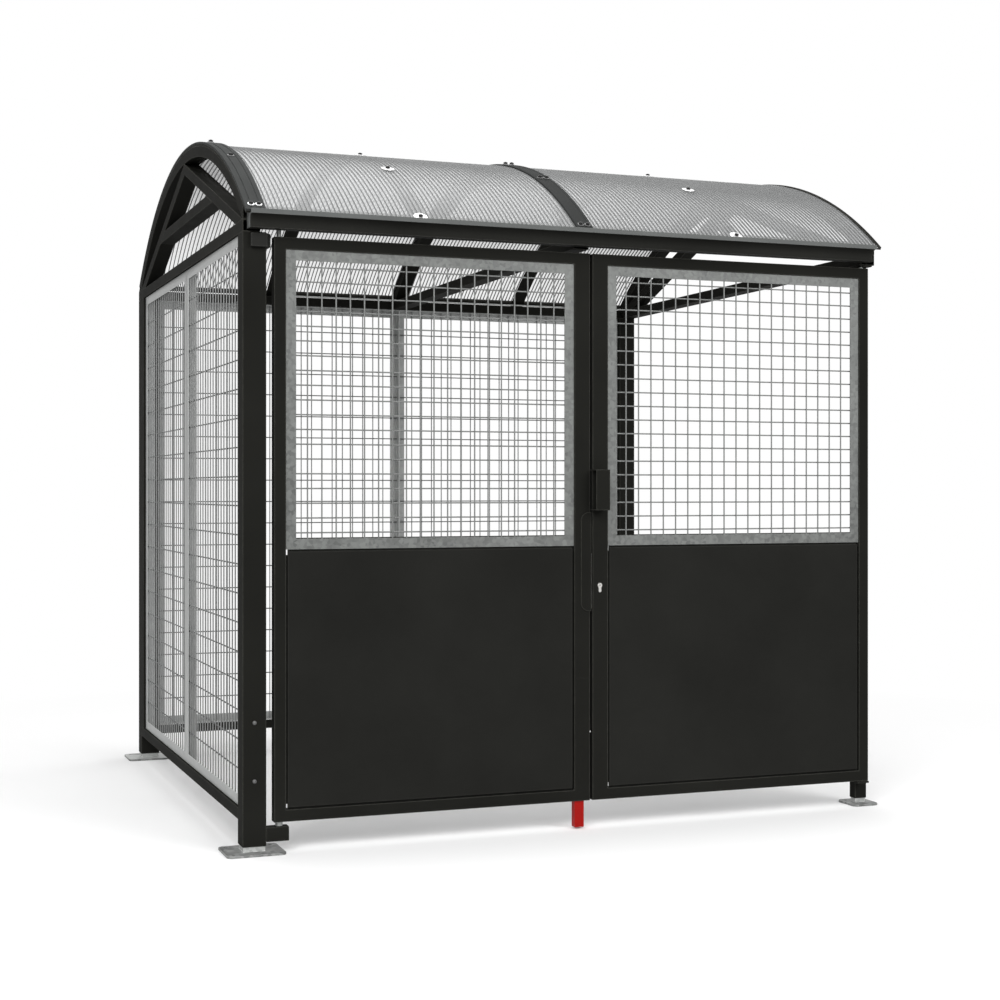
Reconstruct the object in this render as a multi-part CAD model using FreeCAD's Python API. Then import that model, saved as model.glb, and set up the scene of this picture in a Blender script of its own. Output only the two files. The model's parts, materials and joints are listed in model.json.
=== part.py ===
import FreeCAD, Part
import math
import os

os.makedirs("parts", exist_ok=True)
V = FreeCAD.Vector

# Sizes in millimetres. X runs along the front from the left post's outer face,
# Y runs back from the posts' front face, Z rises from the floor.

# Shelter as a whole
SHELTER_WIDTH = 2450.0
SHELTER_DEPTH = 2290.0
CHORD_Z = 2082.0
EAVES_REACH = 70.0
CONTACT_PLAY = 0.3

# Posts and feet
POST_SIZE = 80.0
POST_WALL = 3.0
POST_LIFT = 24.0
SLIM_POST_X = 50.0
SLIM_POST_Y = 40.0
SLIM_POST_GAP = 17.0
PLATE_X = 200.0
PLATE_Y = 180.0
PLATE_THICKNESS = 8.0
PLATE_CORNER = 20.0
PLATE_HOLE = 14.0
PLATE_HOLE_EDGE = 25.0
SLIM_PLATE_X = 110.0
SLIM_PLATE_Y = 130.0
STUB_WALL = 4.0
STUB_TOP_Z = 480.0
POST_BOLT = 10.0
POST_BOLT_HEAD = 17.0
POST_BOLT_HEAD_T = 6.0
LOWER_BOLT_Z = 243.0
UPPER_BOLT_Z = 439.0

# Beams, rails and roof frame
BEAM_X = 60.0
BEAM_Z = 40.0
BEAM_WALL = 3.0
RAIL_SIZE = 40.0
RAIL_Z = 106.0
COLLAR_LIFT = 140.0
CLOSING_STILE = 60.0
RIB_THICKNESS = 10.0

# Roof skin
ROOF_RISE = 405.0
SHEET_THICKNESS = 8.0
SHEET_REACH = 48.0
SHEET_LIFT = 9.0
SHEET_JOINT = 2.0
EDGE_PROFILE_X = 70.0
EDGE_PROFILE_T = 8.0
COVER_STRIP_X = 66.0
COVER_STRIP_T = 6.0
END_TRIM_X = 14.0
END_TRIM_T = 4.0
ROOF_BOLT_HEAD = 15.0
ROOF_BOLT_HEAD_T = 7.0
ROOF_WASHER = 26.0
BAY_WASHER = 50.0
ROOF_WASHER_T = 3.0
ROOF_BOLT_PAIR = 26.0
EAVES_BOLT_Y = -27.0
LOWER_ROOF_BOLT_Y = 372.0
UPPER_ROOF_BOLT_Y = 745.0

# Eaves channel along the front
CHANNEL_LIFT = 8.0
CHANNEL_HEIGHT = 44.0
CHANNEL_FOOT = 46.0
CHANNEL_WAIST = 38.0
CHANNEL_LIP = 4.0
CHANNEL_WALL = 3.0
CHANNEL_LEFT_GAP = 14.0
CHANNEL_RIGHT_GAP = 32.0
END_CAP_T = 3.0
TRIM_HEIGHT = 16.0
TRIM_THICKNESS = 4.0
TRIM_LIP = 12.0
TRIM_LIP_T = 3.0

# Mesh walls
WALL_LEG = 36.0
WALL_FLANGE = 40.0
WALL_ANGLE_T = 3.0
WALL_SETBACK = 10.0
WALL_WIRE = 5.0
WALL_PITCH = 50.0
WALL_ROW_PITCH = 100.0

# Door leaves
LEAF_SIDE_GAP = 27.0
LEAF_END_GAP = 28.0
LEAF_MID_GAP = 11.0
LEAF_Z = 101.0
LEAF_TOP_GAP = 13.0
LEAF_DEPTH = 40.0
HINGE_STILE = 40.0
MEETING_STILE = 60.0
LEAF_RAIL = 40.0
LEAF_WALL = 2.5
PANEL_HEIGHT = 876.0
MID_RAIL_Z = 36.0
MID_RAIL_Y = 21.0

# Leaf fillings
PANEL_T = 2.0
PANEL_SETBACK = 2.0
PANEL_FLANGE = 10.0
PANEL_GROOVE = 7.0
PANEL_NOTCH_Z = 18.0
WINDOW_LEG = 36.0
WINDOW_FLANGE = 15.0
WINDOW_ANGLE_T = 3.0
WINDOW_SETBACK = 4.0
WINDOW_WIRE = 5.0
WINDOW_PITCH = 50.0

# Pivots
LOW_PIN = 25.0
TOP_PIN = 16.0
PIN_CLEARANCE = 0.3
PIN_ENTRY = 35.0
LOW_BRACKET_X = 78.0
LOW_BRACKET_HEIGHT = 49.0
LOW_BRACKET_DROP = 15.0
LOW_PLATE_T = 8.0
LOW_PLATE_DROP = 2.0
TOP_ARM_LIFT = 16.0
TOP_ARM_T = 8.0
TOP_ARM_X = 90.0
TOP_PLATE_T = 6.0
TOP_PLATE_X = 50.0
BUMPER_X = 56.0
BUMPER_LEFT = 25.0
BUMPER_Y = 18.0
BUMPER_DROP = 51.0
BUMPER_HEIGHT = 46.0
STOP_X = 15.0

# Pull handle and guard plate
HANDLE_LEFT = 2.0
HANDLE_X = 54.0
HANDLE_Y = 55.0
HANDLE_LIFT = 271.0
HANDLE_HEIGHT = 146.0
HANDLE_SHEET = 3.0
GUARD_X = 41.0
GUARD_OVERLAP = 5.0
GUARD_DROP = 92.0
GUARD_HEIGHT = 356.0
GUARD_T = 3.0
GUARD_CORNER = 30.0

# Lock in the right leaf
LOCK_X = 28.0
LOCK_Z = 874.0
CYLINDER_HEAD = 17.0
CYLINDER_WEB = 10.0
CYLINDER_DROP = 20.0
CYLINDER_PROUD = 3.0
PLUG = 12.0
PLUG_LENGTH = 23.0
PLUG_CLEARANCE = 0.3
KEYWAY_X = 2.4
KEYWAY_Z = 8.0
KEYWAY_DEPTH = 8.0
CASE_X = 46.0
CASE_Y = 20.0
CASE_DROP = 74.0
CASE_HEIGHT = 180.0
CASE_WALL = 2.0
FOREND_T = 2.0
FOREND_Y = 22.0
FOREND_HEIGHT = 200.0
BOLT_Y = 14.0
BOLT_LIFT = 34.0
BOLT_HEIGHT = 30.0
BOLT_LENGTH = 36.0
BOLT_CLEARANCE = 0.5
STRIKE_T = 1.5
STRIKE_PLAY = 4.0

# Drop bolt in the left leaf
DROP_X = 36.0
DROP_Y = 30.0
DROP_Z = 6.0
DROP_LENGTH = 600.0
DROP_WALL = 3.0
DROP_CLEARANCE = 0.5
DROP_LIFT = 85.0
DROP_PIN = 8.0
DROP_PIN_Y = 10.0
DROP_PIN_Z = 347.0
DROP_PIN_PROUD = 6.0
GUIDE_Z = 540.0
GUIDE_T = 3.0

# Places that follow from the sizes above
MID_X = SHELTER_WIDTH / 2
BACK_REACH = (PLATE_Y - POST_SIZE) / 2
FRONT_Y = EAVES_REACH - (SHELTER_DEPTH + BACK_REACH + EAVES_REACH) / 2
CHORD_TOP_Z = CHORD_Z + BEAM_Z
CHANNEL_Z = CHORD_Z + CHANNEL_LIFT
COLLAR_Z = CHORD_TOP_Z + COLLAR_LIFT
ROOF_MID_Y = (SHELTER_DEPTH - EAVES_REACH + TRIM_THICKNESS) / 2
SHEET_SPAN = ROOF_MID_Y + SHEET_REACH
EAVES_Z = CHANNEL_Z + CHANNEL_HEIGHT + SHEET_LIFT
ROOF_RADIUS = (SHEET_SPAN ** 2 + ROOF_RISE ** 2) / (2 * ROOF_RISE)
ROOF_TOP_Z = EAVES_Z + ROOF_RISE
ROOF_CENTRE_Z = ROOF_TOP_Z - ROOF_RADIUS
ARCH_RADIUS = ROOF_RADIUS - SHEET_THICKNESS
ARCH_INNER = ARCH_RADIUS - BEAM_Z
LEFT_LEAF_X = POST_SIZE + LEAF_SIDE_GAP
LEAF_WIDTH = (SHELTER_WIDTH - LEFT_LEAF_X - LEAF_END_GAP - LEAF_MID_GAP) / 2
LEAF_TOP_Z = CHORD_Z - LEAF_TOP_GAP
WINDOW_Z = LEAF_Z + LEAF_RAIL + PANEL_HEIGHT
LEFT_EDGE_X = LEFT_LEAF_X + LEAF_WIDTH
RIGHT_LEAF_X = LEFT_EDGE_X + LEAF_MID_GAP
LEAF_CENTRE_X = LEFT_EDGE_X + LEAF_MID_GAP / 2
RIGHT_END_X = RIGHT_LEAF_X + LEAF_WIDTH
PIVOT_Y = LEAF_DEPTH / 2
LEFT_PIVOT_X = LEFT_LEAF_X + HINGE_STILE / 2
RIGHT_PIVOT_X = RIGHT_END_X - HINGE_STILE / 2
SLIM_Y = LEAF_DEPTH + SLIM_POST_GAP
BACK_POST_Y = SHELTER_DEPTH - POST_SIZE
WALL_Z = RAIL_Z + RAIL_SIZE
LOW_BRACKET_TOP_Z = LEAF_Z - LOW_BRACKET_DROP
TOP_ARM_Z = CHORD_Z + TOP_ARM_LIFT
BUMPER_Z = CHORD_Z - BUMPER_DROP
HANDLE_Z = LOCK_Z + HANDLE_LIFT
GUARD_Z = LOCK_Z - GUARD_DROP
CASE_Z = LOCK_Z - CASE_DROP
BOLT_Z = LOCK_Z + BOLT_LIFT


def save(name, *solids):
    shape = solids[0] if len(solids) == 1 else Part.makeCompound(list(solids))
    shape.translated(V(-MID_X, FRONT_Y, 0)).exportStep("parts/" + name + ".step")


def block(x0, x1, y0, y1, z0, z1):
    return Part.makeBox(x1 - x0, y1 - y0, z1 - z0, V(x0, y0, z0))


# Box section, open at both ends of the direction it runs along
def box_tube(along, x0, x1, y0, y1, z0, z1, wall):
    inset = V(wall, wall, wall) - along * (wall + 1)
    inner = block(x0 + inset.x, x1 - inset.x, y0 + inset.y, y1 - inset.y, z0 + inset.z, z1 - inset.z)
    return block(x0, x1, y0, y1, z0, z1).cut(inner)


def post_tube(x0, y0, size_x, size_y, z0, z1, wall):
    return box_tube(V(0, 0, 1), x0, x0 + size_x, y0, y0 + size_y, z0, z1, wall)


def polygon_solid(points, sweep):
    return Part.Face(Part.makePolygon(points + [points[0]])).extrude(sweep)


def side_profile(points, x0, x1):
    return polygon_solid([V(x0, y, z) for y, z in points], V(x1 - x0, 0, 0))


def roof_point(x, radius, angle):
    return V(x, ROOF_MID_Y + radius * math.sin(angle), ROOF_CENTRE_Z + radius * math.cos(angle))


# Curved strip that follows the roof between two radii
def roof_strip(inner, outer, half_span, x0, x1):
    angle = math.asin(half_span / outer)
    top = Part.Arc(*[roof_point(x0, outer, a) for a in (-angle, 0, angle)]).toShape()
    low = Part.Arc(*[roof_point(x0, inner, a) for a in (angle, 0, -angle)]).toShape()
    back = Part.makeLine(roof_point(x0, outer, angle), roof_point(x0, inner, angle))
    front = Part.makeLine(roof_point(x0, inner, -angle), roof_point(x0, outer, -angle))
    return Part.Face(Part.Wire([top, back, low, front])).extrude(V(x1 - x0, 0, 0))


# Regular prism that stands on a point, used for bolts and washers
def bolt_prism(base, out, width, height, sides):
    across = V(1, 0, 0)
    along = out.cross(across)
    reach = width / 2 / math.cos(math.pi / sides)
    points = []
    for k in range(sides):
        turn = 2 * math.pi * k / sides
        points.append(base + across * (reach * math.cos(turn)) + along * (reach * math.sin(turn)))
    return polygon_solid(points, out * height)


def roof_prism(x, y, radius, width, height, sides):
    angle = math.asin((y - ROOF_MID_Y) / radius)
    out = V(0, math.sin(angle), math.cos(angle))
    return bolt_prism(V(x, ROOF_MID_Y, ROOF_CENTRE_Z) + out * radius, out, width, height, sides)


# Straight wire of one mesh layer, squared so that it lies flat on the layer it is welded to
def upright_wire(u, n, size, v0, v1):
    half = size / 2
    return block(u - half, u + half, n - half, n + half, v0, v1)


def level_wire(v, n, size, u0, u1):
    half = size / 2
    return block(u0, u1, n - half, n + half, v - half, v + half)


# Angle frame standing on u = 0, v = 0 with its outer face on n = 0
def angle_frame(width, height, leg, flange, thick):
    half = width / 2
    rim = block(-half, half, 0, flange, 0, height)
    rim = rim.cut(block(-half + thick, half - thick, -1, flange + 1, thick, height - thick))
    face = block(-half, half, 0, thick, 0, height)
    face = face.cut(block(-half + leg, half - leg, -1, thick + 1, leg, height - leg))
    return rim.fuse(face).removeSplitter()


# Two crossed layers of wires behind the legs of an angle frame
def wire_layers(width, height, leg, thick, size, pitch, row_pitch):
    half = width / 2
    columns = int((width - 2 * leg + pitch / 4) / pitch)
    rows = int((height - 2 * leg + row_pitch / 4) / row_pitch)
    wires = []
    for k in range(columns):
        u = (k - (columns - 1) / 2) * pitch
        wires.append(upright_wire(u, thick + size / 2, size, thick, height - thick))
    for k in range(rows):
        v = height / 2 + (k - (rows - 1) / 2) * row_pitch
        wires.append(level_wire(v, thick + size * 1.5, size, -half + thick, half - thick))
    return wires


def turned(shapes, degrees, origin):
    place = FreeCAD.Placement(origin, FreeCAD.Rotation(V(0, 0, 1), degrees))
    return [shape.transformGeometry(place.toMatrix()) for shape in shapes]


def mirrored(shape):
    return shape.mirror(V(LEAF_CENTRE_X, 0, 0), V(1, 0, 0))


# Feet: plate with a stub that the hollow post slides over
def plate(x, y, size_x, size_y):
    base = block(x - size_x / 2, x + size_x / 2, y - size_y / 2, y + size_y / 2, 0, PLATE_THICKNESS)
    upright = [e for e in base.Edges if abs(e.tangentAt(e.FirstParameter).z) > 0.9]
    base = base.makeFillet(PLATE_CORNER, upright)
    hole_y = y + size_y / 2 - PLATE_HOLE_EDGE
    for side in (-1, 1):
        hole_x = x + side * (size_x / 2 - PLATE_HOLE_EDGE)
        base = base.cut(Part.makeCylinder(PLATE_HOLE / 2, PLATE_THICKNESS, V(hole_x, hole_y, 0)))
    return base


def foot(x, y, post_x, post_y, size_x, size_y):
    inner_x = post_x - 2 * POST_WALL
    inner_y = post_y - 2 * POST_WALL
    stub = post_tube(x - inner_x / 2, y - inner_y / 2, inner_x, inner_y,
                     PLATE_THICKNESS, STUB_TOP_Z, STUB_WALL)
    return plate(x, y, size_x, size_y).fuse(stub).removeSplitter()


def bolt_places(x, y, facing):
    return [(V(x, y, z), V(0, facing, 0)) for z in (LOWER_BOLT_Z, UPPER_BOLT_Z)]


def bolt_shank(point, out):
    reach = POST_WALL + STUB_WALL
    return bolt_prism(point - out * reach, out, POST_BOLT, reach, 8)


def drilled(shape, places):
    return shape.cut([bolt_shank(point, out) for point, out in places])


def post_bolt(point, out):
    head = bolt_prism(point, out, POST_BOLT_HEAD, POST_BOLT_HEAD_T, 12)
    return head.fuse(bolt_shank(point, out)).removeSplitter()


half_post = POST_SIZE / 2
stand = [
    ("front_left", half_post, half_post, POST_SIZE, POST_SIZE, PLATE_X, PLATE_Y, -1),
    ("back_left", half_post, SHELTER_DEPTH - half_post, POST_SIZE, POST_SIZE, PLATE_X, PLATE_Y, 1),
    ("back_right", SHELTER_WIDTH - half_post, SHELTER_DEPTH - half_post,
     POST_SIZE, POST_SIZE, PLATE_X, PLATE_Y, 1),
    ("front_right", SHELTER_WIDTH - SLIM_POST_X / 2, SLIM_Y + SLIM_POST_Y / 2,
     SLIM_POST_X, SLIM_POST_Y, SLIM_PLATE_X, SLIM_PLATE_Y, 1),
]
post_bolts = []
feet = []
for name, x, y, size_x, size_y, plate_x, plate_y, facing in stand:
    places = bolt_places(x, y + facing * size_y / 2, facing)
    tube = post_tube(x - size_x / 2, y - size_y / 2, size_x, size_y, POST_LIFT, CHORD_Z, POST_WALL)
    save("post_" + name, drilled(tube, places))
    feet.append(drilled(foot(x, y, size_x, size_y, plate_x, plate_y), places))
    post_bolts += [post_bolt(point, out) for point, out in places]
save("wide_feet", *feet[:3])
save("slim_foot", feet[3])
save("post_bolts", *post_bolts)

# Chords, centre tie and rails
right_beam_x = SHELTER_WIDTH - BEAM_X
centre_beam_x = MID_X - BEAM_X / 2
back_rail_y = SHELTER_DEPTH - BEAM_X


def chord(x, length):
    return box_tube(V(0, 1, 0), x, x + BEAM_X, 0, length, CHORD_Z, CHORD_TOP_Z, BEAM_WALL)


save("chord_left", chord(0, SHELTER_DEPTH))
save("chord_right", chord(right_beam_x, SHELTER_DEPTH))
save("tie_centre", chord(centre_beam_x, back_rail_y))
save("rail_back_top", box_tube(V(1, 0, 0), BEAM_X, right_beam_x, back_rail_y, SHELTER_DEPTH,
                               CHORD_Z, CHORD_TOP_Z, BEAM_WALL))
save("rail_back_low", box_tube(V(1, 0, 0), POST_SIZE, SHELTER_WIDTH - POST_SIZE,
                               SHELTER_DEPTH - RAIL_SIZE, SHELTER_DEPTH, RAIL_Z, WALL_Z, BEAM_WALL))
save("rail_left_low", box_tube(V(0, 1, 0), 0, RAIL_SIZE, POST_SIZE, BACK_POST_Y, RAIL_Z, WALL_Z, BEAM_WALL))
save("closing_stile", box_tube(V(0, 0, 1), 0, RAIL_SIZE, BACK_POST_Y - CLOSING_STILE, BACK_POST_Y,
                               WALL_Z, CHORD_Z, BEAM_WALL))

# Arches, ribs and gable trusses under the roof
above_beams = block(-1, SHELTER_WIDTH + 1, 0, SHELTER_DEPTH, CHORD_TOP_Z, ROOF_TOP_Z)
long_span = ROOF_MID_Y + EAVES_REACH * 1.3


def arch(x):
    strip = roof_strip(ARCH_INNER, ARCH_RADIUS, long_span, x, x + BEAM_X)
    hollow = roof_strip(ARCH_INNER + BEAM_WALL, ARCH_RADIUS - BEAM_WALL, long_span,
                        x + BEAM_WALL, x + BEAM_X - BEAM_WALL)
    return strip.cut(hollow).common(above_beams)


def rib(x):
    strip = roof_strip(ARCH_RADIUS - RIB_THICKNESS, ARCH_RADIUS, long_span, x - BEAM_X / 2, x + BEAM_X / 2)
    return strip.common(above_beams)


bay_mids = (MID_X / 2, MID_X * 1.5)
save("arch_left", arch(0))
save("arch_centre", arch(centre_beam_x))
save("arch_right", arch(right_beam_x))
save("bay_ribs", *[rib(x) for x in bay_mids])

rafter_foot_y = ROOF_MID_Y - math.sqrt(ARCH_INNER ** 2 - (CHORD_TOP_Z - ROOF_CENTRE_Z) ** 2)
apex_z = ROOF_CENTRE_Z + ARCH_INNER
rafter_slope = math.atan2(apex_z - CHORD_TOP_Z, ROOF_MID_Y - rafter_foot_y)
rafter_drop = BEAM_Z / math.cos(rafter_slope)
rafter_heel_y = rafter_foot_y + rafter_drop / math.tan(rafter_slope)


def flipped(points):
    return [(2 * ROOF_MID_Y - y, z) for y, z in points]


def under_rafter(z):
    return rafter_heel_y + (z - CHORD_TOP_Z) / math.tan(rafter_slope)


front_rafter = [(rafter_foot_y, CHORD_TOP_Z), (ROOF_MID_Y, apex_z),
                (ROOF_MID_Y, apex_z - rafter_drop), (rafter_heel_y, CHORD_TOP_Z)]
rafter_wall = BEAM_WALL / math.cos(rafter_slope)
low_y = rafter_foot_y - BEAM_X
low_z = CHORD_TOP_Z - BEAM_X * math.tan(rafter_slope)
high_y = ROOF_MID_Y + BEAM_X
high_z = apex_z + BEAM_X * math.tan(rafter_slope)
rafter_bore = [(low_y, low_z - rafter_wall), (high_y, high_z - rafter_wall),
               (high_y, high_z - rafter_drop + rafter_wall), (low_y, low_z - rafter_drop + rafter_wall)]
collar_end = [(under_rafter(COLLAR_Z), COLLAR_Z), (under_rafter(COLLAR_Z + BEAM_Z), COLLAR_Z + BEAM_Z)]
collar = collar_end + flipped(collar_end)[::-1]


# Rafter or collar as a box section cut from its side view
def truss_bar(points, bore, x):
    bar = side_profile(points, x, x + BEAM_X)
    return bar.cut(side_profile(bore, x + BEAM_WALL, x + BEAM_X - BEAM_WALL))


collar_z0 = COLLAR_Z + BEAM_WALL
collar_z1 = COLLAR_Z + BEAM_Z - BEAM_WALL
collar_bore = [(0, collar_z0), (SHELTER_DEPTH, collar_z0), (SHELTER_DEPTH, collar_z1), (0, collar_z1)]
for side, x in (("left", 0), ("right", right_beam_x)):
    save("rafters_" + side, truss_bar(front_rafter, rafter_bore, x),
         truss_bar(flipped(front_rafter), flipped(rafter_bore), x))
save("collar_left", truss_bar(collar, collar_bore, 0))

# Roof sheets, edge profile, cover strip and end trim
save("roof_sheet_left", roof_strip(ARCH_RADIUS, ROOF_RADIUS, SHEET_SPAN, 0, MID_X - SHEET_JOINT / 2))
save("roof_sheet_right", roof_strip(ARCH_RADIUS, ROOF_RADIUS, SHEET_SPAN,
                                    MID_X + SHEET_JOINT / 2, SHELTER_WIDTH))
save("edge_profile", roof_strip(ROOF_RADIUS, ROOF_RADIUS + EDGE_PROFILE_T, SHEET_SPAN, 0, EDGE_PROFILE_X))
save("cover_strip", roof_strip(ROOF_RADIUS, ROOF_RADIUS + COVER_STRIP_T, SHEET_SPAN,
                               MID_X - COVER_STRIP_X / 2, MID_X + COVER_STRIP_X / 2))
save("end_trim", roof_strip(ROOF_RADIUS, ROOF_RADIUS + END_TRIM_T, SHEET_SPAN,
                            SHELTER_WIDTH - END_TRIM_X, SHELTER_WIDTH))

# Bolts with washers hold the sheets down along every arch and rib
bolt_lines = [
    (EDGE_PROFILE_X / 2, ROOF_RADIUS + EDGE_PROFILE_T),
    (MID_X, ROOF_RADIUS + COVER_STRIP_T),
    (bay_mids[0], ROOF_RADIUS),
    (bay_mids[1], ROOF_RADIUS),
]
roof_bolts = []
roof_washers = []
for line_x, radius in bolt_lines:
    paired = radius > ROOF_RADIUS
    single_washer = ROOF_WASHER if paired else BAY_WASHER
    for near_y in (EAVES_BOLT_Y, LOWER_ROOF_BOLT_Y, UPPER_ROOF_BOLT_Y):
        twin = paired and (line_x == MID_X or near_y == EAVES_BOLT_Y)
        offsets = (-ROOF_BOLT_PAIR / 2, ROOF_BOLT_PAIR / 2) if twin else (0,)
        for y in (near_y, 2 * ROOF_MID_Y - near_y):
            for offset in offsets:
                x = line_x + offset
                width = min(ROOF_WASHER, ROOF_BOLT_PAIR - 2) if twin else single_washer
                seat = radius + ROOF_WASHER_T
                roof_washers.append(roof_prism(x, y, radius, width, ROOF_WASHER_T, 8))
                roof_bolts.append(roof_prism(x, y, seat, ROOF_BOLT_HEAD, ROOF_BOLT_HEAD_T, 6))
save("roof_bolts", *roof_bolts)
save("roof_washers", *roof_washers)

# Eaves channel: folded sheet with a hollow front, open towards the inside
channel_front = EAVES_REACH - TRIM_THICKNESS
channel_top_z = CHANNEL_Z + CHANNEL_HEIGHT


def sheet_underside(y):
    return ROOF_CENTRE_Z + math.sqrt(ARCH_RADIUS ** 2 - (y - ROOF_MID_Y) ** 2) - CONTACT_PLAY


def channel_outline(x):
    inner_lip = CHANNEL_LIP - channel_front
    lip_top_z = channel_top_z + CHANNEL_LIP
    foot_front = V(x, -CHANNEL_FOOT, CHANNEL_Z)
    waist = V(x, -CHANNEL_WAIST, CHANNEL_Z + CHANNEL_HEIGHT / 2)
    brow = V(x, -channel_front, channel_top_z)
    edges = [Part.makeLine(V(x, 0, CHANNEL_Z), foot_front), Part.Arc(foot_front, waist, brow).toShape()]
    rest = [brow, V(x, -channel_front, lip_top_z), V(x, inner_lip, lip_top_z),
            V(x, -CHANNEL_FOOT, sheet_underside(-CHANNEL_FOOT)), V(x, 0, sheet_underside(0)),
            V(x, 0, CHANNEL_Z)]
    return Part.Face(Part.Wire(edges + Part.makePolygon(rest).Edges))


throat = CHANNEL_WAIST - CHANNEL_WALL
hollow = [(1, CHANNEL_Z + CHANNEL_WALL), (-throat - CHANNEL_WALL, CHANNEL_Z + CHANNEL_WALL),
          (-throat, CHANNEL_Z + CHANNEL_HEIGHT * 0.2), (-throat, CHANNEL_Z + CHANNEL_HEIGHT * 0.62),
          (-throat - CHANNEL_WALL, sheet_underside(-throat) - 4 * CHANNEL_WALL),
          (1, sheet_underside(1) - 1.6 * CHANNEL_WALL)]
channel_x0 = CHANNEL_LEFT_GAP
channel_x1 = SHELTER_WIDTH - CHANNEL_RIGHT_GAP
channel = channel_outline(channel_x0 + END_CAP_T).extrude(V(channel_x1 - channel_x0 - 2 * END_CAP_T, 0, 0))
save("eaves_channel", channel.cut(side_profile(hollow, 0, SHELTER_WIDTH)))
save("channel_end_caps", channel_outline(channel_x0).extrude(V(END_CAP_T, 0, 0)),
     channel_outline(channel_x1 - END_CAP_T).extrude(V(END_CAP_T, 0, 0)))
trim_top_z = channel_top_z + TRIM_HEIGHT
trim = [(-EAVES_REACH, channel_top_z), (-channel_front, channel_top_z),
        (-channel_front, trim_top_z - TRIM_LIP_T), (-channel_front + TRIM_LIP, trim_top_z - TRIM_LIP_T),
        (-channel_front + TRIM_LIP, trim_top_z), (-EAVES_REACH, trim_top_z)]
save("eaves_trim", side_profile(trim, channel_x0, channel_x1))

# Mesh walls: two angle frames with welded wires at the left side and two at the back
wall_height = CHORD_Z - WALL_Z
side_width = (BACK_POST_Y - CLOSING_STILE - POST_SIZE) / 2
back_width = (SHELTER_WIDTH - 2 * POST_SIZE) / 2


def wall_panel(width):
    frame = angle_frame(width, wall_height, WALL_LEG, WALL_FLANGE, WALL_ANGLE_T)
    wires = wire_layers(width, wall_height, WALL_LEG, WALL_ANGLE_T, WALL_WIRE, WALL_PITCH, WALL_ROW_PITCH)
    return frame, wires


side_frame, side_wires = wall_panel(side_width)
back_frame, back_wires = wall_panel(back_width)
side_places = [V(WALL_SETBACK, POST_SIZE + side_width * (k + 0.5), WALL_Z) for k in range(2)]
back_face_y = SHELTER_DEPTH - WALL_SETBACK
back_places = [V(POST_SIZE + back_width * (k + 0.5), back_face_y, WALL_Z) for k in range(2)]
save("side_wall_frames", *[turned([side_frame], -90, place)[0] for place in side_places])
save("side_wall_mesh", *[wire for place in side_places for wire in turned(side_wires, -90, place)])
save("back_wall_frames", *[turned([back_frame], 180, place)[0] for place in back_places])
save("back_wall_mesh", *[wire for place in back_places for wire in turned(back_wires, 180, place)])

# Pivots of the two leaves
left_bracket = block(POST_SIZE, POST_SIZE + LOW_BRACKET_X, 0, LEAF_DEPTH,
                     LOW_BRACKET_TOP_Z - LOW_BRACKET_HEIGHT, LOW_BRACKET_TOP_Z)
low_plate_top_z = LEAF_Z - LOW_PLATE_DROP
right_bracket = block(RIGHT_PIVOT_X - SLIM_POST_X / 2, RIGHT_PIVOT_X + SLIM_POST_X / 2, 0, SLIM_Y,
                      low_plate_top_z - LOW_PLATE_T, low_plate_top_z)
low_pin_top_z = LEAF_Z + PIN_ENTRY
save("low_bracket_left", left_bracket)
save("low_bracket_right", right_bracket)
save("low_pins", *[Part.makeCylinder(LOW_PIN / 2, low_pin_top_z - z, V(x, PIVOT_Y, z))
                   for x, z in ((LEFT_PIVOT_X, LOW_BRACKET_TOP_Z), (RIGHT_PIVOT_X, low_plate_top_z))])

# The upper pins hang from an arm beside the left chord and a plate under the right one
top_pin_z = LEAF_TOP_Z - PIN_ENTRY
plate_z = CHORD_Z - TOP_PLATE_T
save("top_arm_left", block(BEAM_X, BEAM_X + TOP_ARM_X, 0, LEAF_DEPTH, TOP_ARM_Z, TOP_ARM_Z + TOP_ARM_T))
save("top_plate_right", block(right_beam_x, right_beam_x + TOP_PLATE_X, 0, LEAF_DEPTH, plate_z, CHORD_Z))
save("top_pins", Part.makeCylinder(TOP_PIN / 2, TOP_ARM_Z - top_pin_z, V(LEFT_PIVOT_X, PIVOT_Y, top_pin_z)),
     Part.makeCylinder(TOP_PIN / 2, plate_z - top_pin_z, V(RIGHT_PIVOT_X, PIVOT_Y, top_pin_z)))
bumper_top_z = BUMPER_Z + BUMPER_HEIGHT
save("post_bumper", block(BUMPER_LEFT, BUMPER_LEFT + BUMPER_X, -BUMPER_Y, 0, BUMPER_Z, bumper_top_z),
     block(POST_SIZE, POST_SIZE + STOP_X, 0, LEAF_DEPTH, BUMPER_Z, bumper_top_z))

# Leaf frame of welded square tube, built as the left leaf
leaf_in_x0 = LEFT_LEAF_X + HINGE_STILE
leaf_in_x1 = LEFT_EDGE_X - MEETING_STILE
leaf_in_z0 = LEAF_Z + LEAF_RAIL
leaf_in_z1 = LEAF_TOP_Z - LEAF_RAIL
mid_rail_z0 = WINDOW_Z + LEAF_WALL


def shrunk(x0, x1, y0, y1, z0, z1):
    wall = LEAF_WALL
    return block(x0 + wall, x1 - wall, y0 + wall, y1 - wall, z0 + wall, z1 - wall)


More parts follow.
